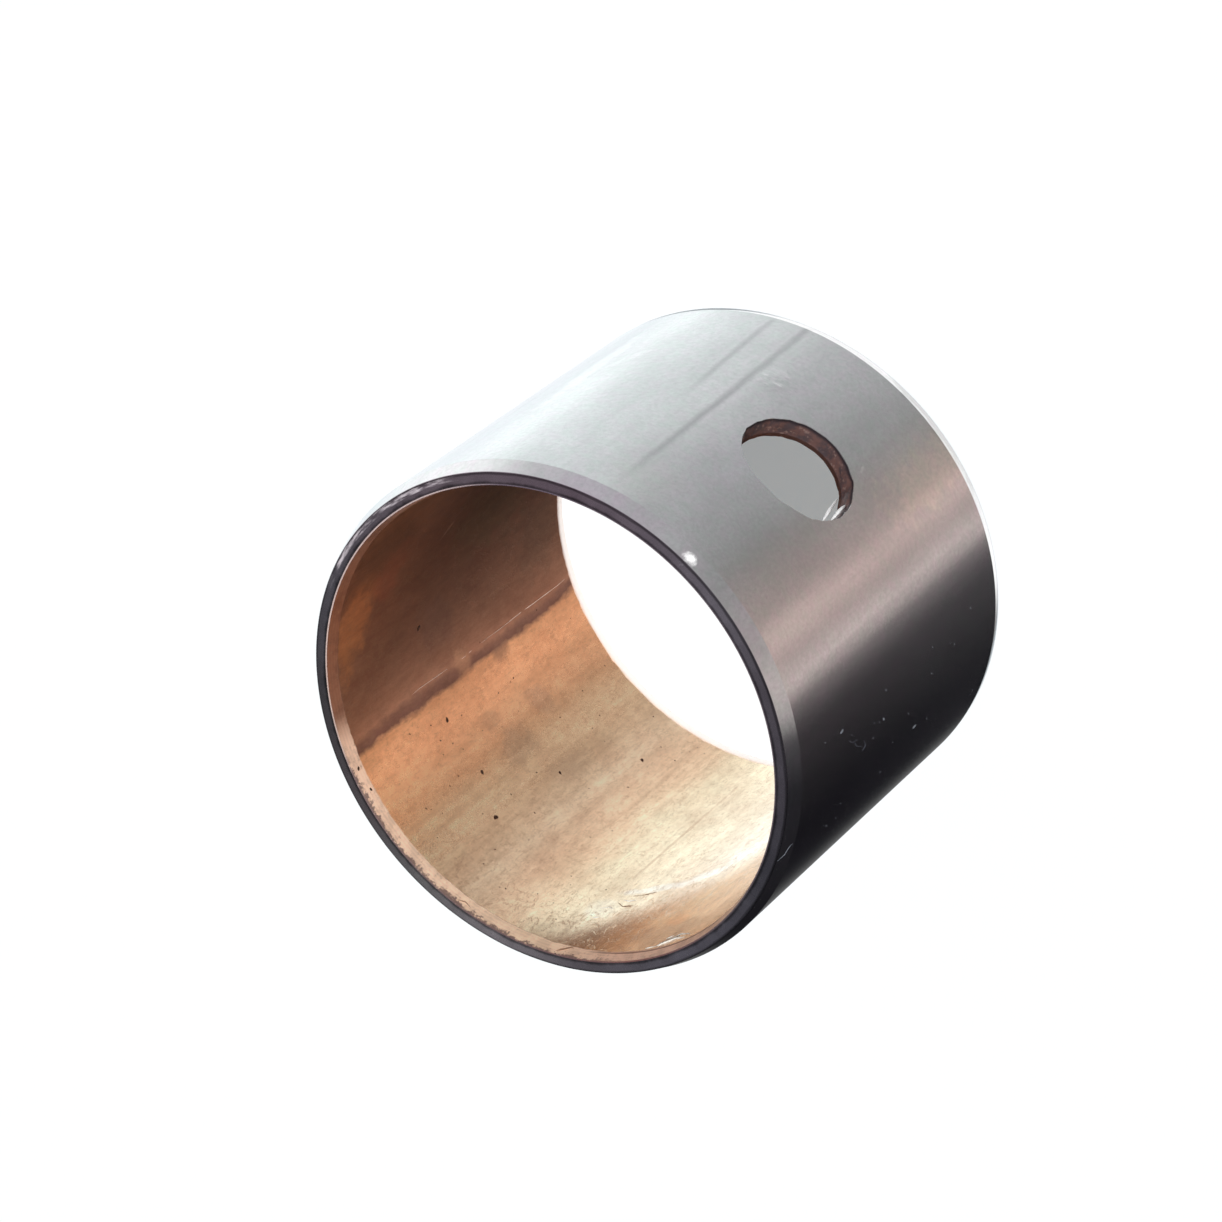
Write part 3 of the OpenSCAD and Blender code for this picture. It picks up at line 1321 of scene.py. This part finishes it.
    # Tones of the thin land round the axis: painted reflection, pinkish with a painted highlight at the upper
    # left and near black where it mirrors dark surroundings
    land: Bands = (
        (-180.0, 0.52, 0.37, 0.31), (-110.0, 0.60, 0.46, 0.42), (-62.0, 0.50, 0.40, 0.40),
        (-45.0, 0.13, 0.10, 0.13), (95.0, 0.09, 0.07, 0.08), (135.0, 0.22, 0.09, 0.07),
        (179.9, 0.52, 0.37, 0.31),
    )

    def look(self, w: Wiring) -> tuple[Value, Any, Value, Value]:
        """Works out the finish.

        Args:
            w: The material's wiring.

        Returns:
            Its colour, share of bare metal, roughness and relief.
        """
        w = WallWiring(w.tree, self.length, self.radius)
        streaks = w.grain(900.0, 4.0, 0.62, 0.04)
        grain = w.grain(1700.0, 5.0, 0.75)
        patches = w.grain(130.0, 5.0, 0.65, 0.5)
        strokes = self._strokes(w)
        # The bands go by a turn with uneven steps, which makes their edges ragged
        wander = w.uneven(900.0, 4.0, 0.7, 0.6) * 0.006 + w.uneven(160.0, 4.0, 0.6, 0.5) * 0.016
        turn = w.turn + wander
        rim = w.uneven(600.0, 4.0, 0.7) * (0.7 * MM) + w.end
        rim = w.ease(rim, self.chamfer_len + 0.16 * MM, self.chamfer_len - 0.06 * MM)
        # The bands carry painted reflection and a painted highlight over the bronze's tarnished colour, and
        # some stains below are painted highlight and shade
        tone = w.stained(w.bands(turn, self.tarnish_and_painted_reflection), self.stains)
        hue = w.ease(w.grain(230.0, 5.0, 0.7), 0.34, 0.66)
        tone = tone * w.mix(hue, (1.0, 0.955, 0.925), (1.0, 1.0, 0.975))
        tone = tone * w.mix(w.ease(patches, 0.36, 0.66), (1.07, 1.07, 1.06), (0.87, 0.83, 0.80))
        tone = w.mix(w.ease(streaks, 0.50, 0.75) * 0.16, tone, self.speck)
        tone = w.mix(w.ease(grain, 0.48, 0.72) * 0.24, tone, self.speck)
        mottle = w.ease(w.grain(1200.0, 5.0, 0.8, 0.4), 0.34, 0.66)
        tone = tone * w.mix(mottle, (0.92, 0.91, 0.90), (1.08, 1.09, 1.08))
        drawn = w.ease(w.grain(300.0, 4.0, 0.7, 0.02), 0.34, 0.66)
        tone = tone * w.mix(drawn, (0.92, 0.90, 0.88), (1.05, 1.06, 1.06))
        tone = w.mix(strokes * 0.24, tone, self.speck)
        tone = w.mix(w.punched, w.mix(rim, tone, self._chamfer(w, grain)), (0.16, 0.085, 0.07))
        # More of the metal is bare in the pale part of the bore, whose cream is partly a painted highlight,
        # than under the tarnished bands
        pale = w.most(w.ease(w.degrees, 118.0, 134.0), w.ease(w.degrees, -156.0, -170.0))
        bare = rim * -0.80 + (pale * 0.12 + 0.82)
        rough = streaks * 0.10 + (self.roughness - 0.05) - 0.07 + grain * 0.14
        rough = rough + w.bands(turn, self.dullness) + rim * 0.14 + w.punched * 0.3
        relief = streaks * 3.0e-6 + grain * 5.0e-6 + patches * 2.2e-5 + strokes * -6.0e-6
        return tone, bare, rough, relief

    @staticmethod
    def _strokes(w: WallWiring) -> Value:
        """Finds the short dark wrinkles of the sintered bronze.

        Args:
            w: The material's wiring.

        Returns:
            Their strength, 0 to 1.
        """
        bent = w.shift(w.place, 500.0, 2.0, (0.9 * MM, 0.9 * MM, 0.9 * MM))
        ridge = w.math("ABSOLUTE", w.clouds(w.place * (1.0, 1.0, 0.35) + bent, 1100.0, 4.0, 0.6) - 0.5)
        return w.ease(ridge, 0.045, 0.0) * w.ease(w.grain(640.0, 3.0, 0.6), 0.42, 0.58)

    def _chamfer(self, w: WallWiring, grain: Value) -> Value:
        """Colours the bore chamfers, which are cut bright; their bands are partly painted reflection, and the
        lower chamfer is near white.

        Args:
            w: The material's wiring.
            grain: Fine unevenness.

        Returns:
            The colour.
        """
        fold = w.wave(w.depth, 1.34 * MM, 1.50 * MM, 0.10 * MM) * w.wave(w.degrees, 102.0, 126.0, 14.0)
        tone = w.mix(fold * 0.75, w.bands(w.turn, self.chamfer), (0.20, 0.085, 0.065))
        rings = w.math("SINE", w.height * (math.tau / (0.42 * MM)))
        level = w.ease(w.grain(420.0, 5.0, 0.7), 0.42, 0.62) * -0.26 + 1.13 + rings * 0.05
        tone = w.mix(w.ease(grain, 0.55, 0.68) * 0.5, tone * level, self.speck)
        tone = w.mix(w.ease(w.height, 2.0 * MM, 1.0 * MM), tone, (1.0, 0.96, 0.93))
        tone = w.mix(w.ease(w.end, 0.06 * MM, 0.02 * MM), tone, w.bands(w.turn, self.land))
        smear = w.ease(w.uneven(1100.0, 5.0, 0.8) * (3.4 * MM) + w.depth, 0.42 * MM, 0.06 * MM)
        lower = w.most(w.ease(w.degrees, 118.0, 140.0), w.ease(w.degrees, -144.0, -152.0))
        return w.mix(smear * lower * 0.85, tone, (0.15, 0.095, 0.10))


@dataclass(frozen=True)
class Studio:
    """The plain studio: surroundings that the metal mirrors, a soft lamp and a pale floor."""

    brightness: float = 1.6
    plain_level: float = 0.12
    overhead: Colour = (0.156, 0.150, 0.156)
    below: Colour = (0.86, 0.86, 0.86)
    lamp_turn: float = math.radians(-100.26)
    lamp_rise: float = math.radians(65.0)
    lamp_far: float = 0.8
    lamp_softness: float = math.radians(3.0)
    lamp_level: float = 3.4
    floor_size: float = 6.0
    floor_glow: float = 0.31
    floor_tone: Colour = (0.98, 0.98, 0.98)
    shade_tone: Colour = (0.83, 0.95, 1.0)
    lower: Bands = (
        (-180.0, 0.010, 0.010, 0.010), (-168.0, 0.70, 0.72, 0.73), (-139.0, 0.70, 0.745, 0.77),
        (-119.0, 0.90, 0.95, 0.955), (-99.0, 0.75, 0.795, 0.795), (-59.0, 0.57, 0.59, 0.59),
        (-39.0, 0.43, 0.432, 0.44), (1.0, 0.262, 0.262, 0.258), (12.0, 0.255, 0.23, 0.218),
        (30.0, 0.325, 0.26, 0.24), (41.0, 0.575, 0.437, 0.40), (50.0, 0.37, 0.293, 0.272),
        (61.0, 0.57, 0.475, 0.45), (69.0, 0.125, 0.107, 0.110), (80.0, 0.034, 0.029, 0.032),
        (104.0, 0.015, 0.0137, 0.0155), (125.0, 0.0075, 0.007, 0.009), (147.0, 0.009, 0.0085, 0.0105),
        (156.0, 0.016, 0.016, 0.018), (165.0, 0.055, 0.055, 0.055), (179.0, 0.15, 0.15, 0.15),
    )
    level: Bands = (
        (-180.0, 0.90, 0.90, 0.90), (-107.0, 1.0, 1.0, 1.0), (-90.0, 1.0, 0.99, 1.0),
        (-70.0, 0.565, 0.56, 0.57), (-51.0, 0.47, 0.43, 0.475), (-12.0, 0.38, 0.37, 0.38),
        (8.0, 0.27, 0.265, 0.265), (28.0, 0.35, 0.31, 0.31), (50.0, 0.50, 0.44, 0.42),
        (59.0, 0.38, 0.35, 0.34), (67.0, 0.06, 0.056, 0.060), (86.0, 0.018, 0.017, 0.020),
        (179.0, 0.008, 0.007, 0.009),
    )

    def world(self) -> None:
        """Makes the surroundings: white behind the bush, graded where the metal mirrors them."""
        world = bpy.data.worlds.new("studio")
        bpy.context.scene.world = world
        w = fresh(world)
        way = w.get("ShaderNodeTexCoord", output="Generated")
        z = w.split(way)[2]
        turn = w.turn_at(way)
        tone = w.mix(w.ease(z, -0.62, -0.40), w.bands(turn, self.lower), w.bands(turn, self.level))
        tone = w.mix(w.ease(z, 0.05, 0.40), tone, self.overhead)
        tone = w.mix(w.ease(z, -0.84, -0.91), tone, self.below)
        path = w.outputs("ShaderNodeLightPath")
        straight = w.most(path["Is Camera Ray"], path["Is Transmission Ray"])
        white = (1.0, 1.0, 1.0, 1.0)
        graded, behind, plain = (
            w.get("ShaderNodeBackground", {"Color": colour, "Strength": strength})
            for colour, strength in ((tone, self.brightness), (white, 1.0), (white, self.plain_level))
        )
        shows = w.most(straight, path["Is Glossy Ray"])
        whole = w.blend(shows, plain, w.blend(straight, graded, behind))
        w.node("ShaderNodeOutputWorld", {"Surface": whole})

    def floor(self) -> None:
        """Makes the pale floor that the bush stands on."""
        half = self.floor_size / 2
        mesh = bpy.data.meshes.new("floor")
        corners = [(-half, -half, 0.0), (half, -half, 0.0), (half, half, 0.0), (-half, half, 0.0)]
        mesh.from_pydata(corners, [], [(0, 1, 2, 3)])
        made = bpy.data.materials.new("pale_paper")
        w = fresh(made)
        path = w.outputs("ShaderNodeLightPath")
        paper = w.get("ShaderNodeBsdfDiffuse", {"Color": (*self.floor_tone, 1.0)})
        glow = w.get("ShaderNodeEmission", {"Color": (*self.shade_tone, 1.0), "Strength": 1.0})
        lit = w.blend(path["Is Camera Ray"] * self.floor_glow, paper, glow)
        whole = w.blend(path["Is Glossy Ray"], lit, w.get("ShaderNodeBsdfTransparent"))
        w.node("ShaderNodeOutputMaterial", {"Surface": whole})
        mesh.materials.append(made)
        floor = placed("floor", mesh)
        floor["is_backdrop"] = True

    def lamp(self, target: Vector) -> None:
        """Hangs the soft lamp.

        Args:
            target: What the lamp points at.
        """
        light = bpy.data.lights.new("soft_lamp", "SUN")
        light.angle = self.lamp_softness
        light.energy = self.lamp_level
        lamp = placed("soft_lamp", light)
        lamp.visible_glossy = False
        away = outward(self.lamp_turn, self.lamp_rise)
        lamp.location = target + away * self.lamp_far
        lamp.rotation_euler = away.to_track_quat("Z", "Y").to_euler()


@dataclass(frozen=True)
class PhotoCamera:
    """The camera, placed by a fit to the rings, outlines and oil hole of the photograph."""

    aim: Colour = (5.41 * MM, -0.98 * MM, 29.31 * MM)
    turn: float = math.radians(-100.26)
    rise: float = math.radians(50.19)
    far: float = 469.1 * MM
    roll: float = math.radians(127.84)
    lens: float = 125.36
    sensor: float = 36.0
    nearest: float = 0.01

    def place(self) -> None:
        """Sets up the scene's camera."""
        data = bpy.data.cameras.new("photo_camera")
        data.lens, data.sensor_width, data.clip_start = self.lens, self.sensor, self.nearest
        camera = placed("photo_camera", data)
        away = outward(self.turn, self.rise)
        facing = away.to_track_quat("Z", "Y").to_matrix().to_4x4()
        there = Matrix.Translation(Vector(self.aim) + away * self.far)
        camera.matrix_world = there @ facing @ Matrix.Rotation(-self.roll, 4, "Z")
        bpy.context.scene.camera = camera


def declare(piece: bpy.types.Object) -> None:
    """Logs a finished piece's size in triangles.

    Args:
        piece: The piece.
    """
    piece.data.calc_loop_triangles()
    LOG.info("%s: %d triangles", piece.name, len(piece.data.loop_triangles))


def write_sizes(cad: Any) -> None:
    """Works out the CAD box and the visual model's box, which are not kept.

    Args:
        cad: The box from straight after loading.
    """
    boxes = {"cad": cad, "visual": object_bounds()}
    {name: [list(corner) for corner in box] for name, box in boxes.items()}


def main() -> None:
    """Builds the bush, the studio and the camera, in that order."""
    logging.basicConfig(level=logging.INFO, format="%(name)s: %(message)s")
    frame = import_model()
    cad = [list(corner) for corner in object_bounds()]
    bpy.context.scene.view_settings.view_transform = "Standard"
    sizes = BushSizes.from_frame(frame["record"])
    sleeve = Sleeve(sizes, WallMesh(), PunchedEdge())
    tree = SweepTree()
    sleeve.build(tree, Layer.STEEL, SteelFinish().material(), "steel")
    sleeve.build(tree, Layer.BRONZE, BronzeFinish().material(), "bronze")
    WearMarks(sizes).build(sleeve)
    studio = Studio()
    studio.world()
    studio.floor()
    studio.lamp(Vector((0.0, 0.0, sizes.length / 2)))
    PhotoCamera().place()
    write_sizes(cad)


if __name__ == "__main__":
    main()
